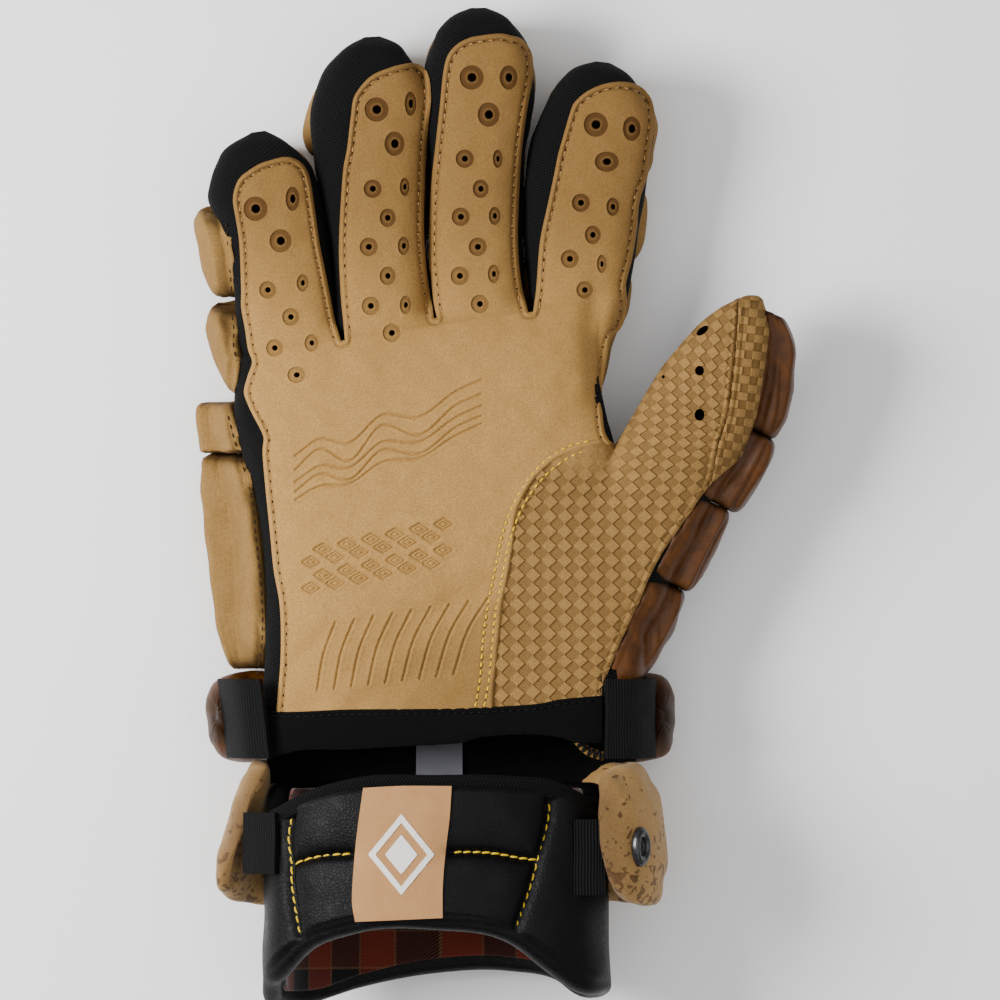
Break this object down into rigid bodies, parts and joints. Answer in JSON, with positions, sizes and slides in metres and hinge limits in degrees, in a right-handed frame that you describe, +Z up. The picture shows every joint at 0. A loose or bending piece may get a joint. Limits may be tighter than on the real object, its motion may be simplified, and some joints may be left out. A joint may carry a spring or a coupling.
{
  "type": "lacrosse glove",
  "caption": "Right-hand lacrosse glove lying on its back: tan leather palm, black mesh fingers, padded rolls on the back and a padded cuff.",
  "frame": {"origin": "middle of the glove's bounding box, on the surface that it lies on", "axes": "+Y from the cuff to the fingertips, +X across the palm towards the thumb, +Z up out of the palm"},
  "size_m": [0.198, 0.3286, 0.0766],
  "materials": {
    "tan_suede": "napped tan palm leather",
    "tan_padding": "tan synthetic leather over foam",
    "brown_leather": "smooth dark caramel leather over foam",
    "black_mesh": "black knitted mesh",
    "black_elastic": "ribbed black elastic and tape",
    "black_leather": "grained black synthetic leather",
    "plaid_lining": "dark red and black checked cloth",
    "copper_weave": "copper-coloured woven patch",
    "grey_label": "blank grey woven label",
    "black_metal": "black enamelled eyelet"
  },
  "bodies": {
    "root": {"care_label": "grey_label", "cuff_edge_tape": "black_elastic", "cuff_gusset_left": "black_elastic", "cuff_gusset_right": "black_elastic", "cuff_lining": "plaid_lining", "cuff_pad": "black_leather", "cuff_patch": "copper_weave", "cuff_shield": "tan_padding", "hand_back_mesh": "black_mesh", "index_back_pad": "tan_padding", "index_distal_roll": "tan_padding", "index_finger_mesh": "black_mesh", "index_knuckle_pad": "tan_padding", "index_middle_roll": "tan_padding", "index_proximal_roll": "tan_padding", "little_back_pad": "tan_padding", "little_distal_roll": "tan_padding", "little_finger_mesh": "black_mesh", "little_knuckle_pad": "tan_padding", "little_middle_roll": "tan_padding", "little_proximal_roll": "tan_padding", "middle_back_pad": "tan_padding", "middle_distal_roll": "tan_padding", "middle_finger_mesh": "black_mesh", "middle_knuckle_pad": "tan_padding", "middle_middle_roll": "tan_padding", "middle_proximal_roll": "tan_padding", "palm_leather": "tan_suede", "ring_back_pad": "tan_padding", "ring_distal_roll": "tan_padding", "ring_finger_mesh": "black_mesh", "ring_knuckle_pad": "tan_padding", "ring_middle_roll": "tan_padding", "ring_proximal_roll": "tan_padding", "shield_eyelet": "black_metal", "side_elastic_left": "black_elastic", "side_elastic_right": "black_elastic", "thumb_cap": "brown_leather", "thumb_leather": "tan_suede", "thumb_mesh": "black_mesh", "thumb_roll_lower": "brown_leather", "thumb_roll_middle": "brown_leather", "thumb_roll_upper": "brown_leather", "thumb_side_strip": "tan_suede", "wrist_back": "black_mesh", "wrist_band": "black_leather", "wrist_roll": "brown_leather"}
  },
  "joints": []
}
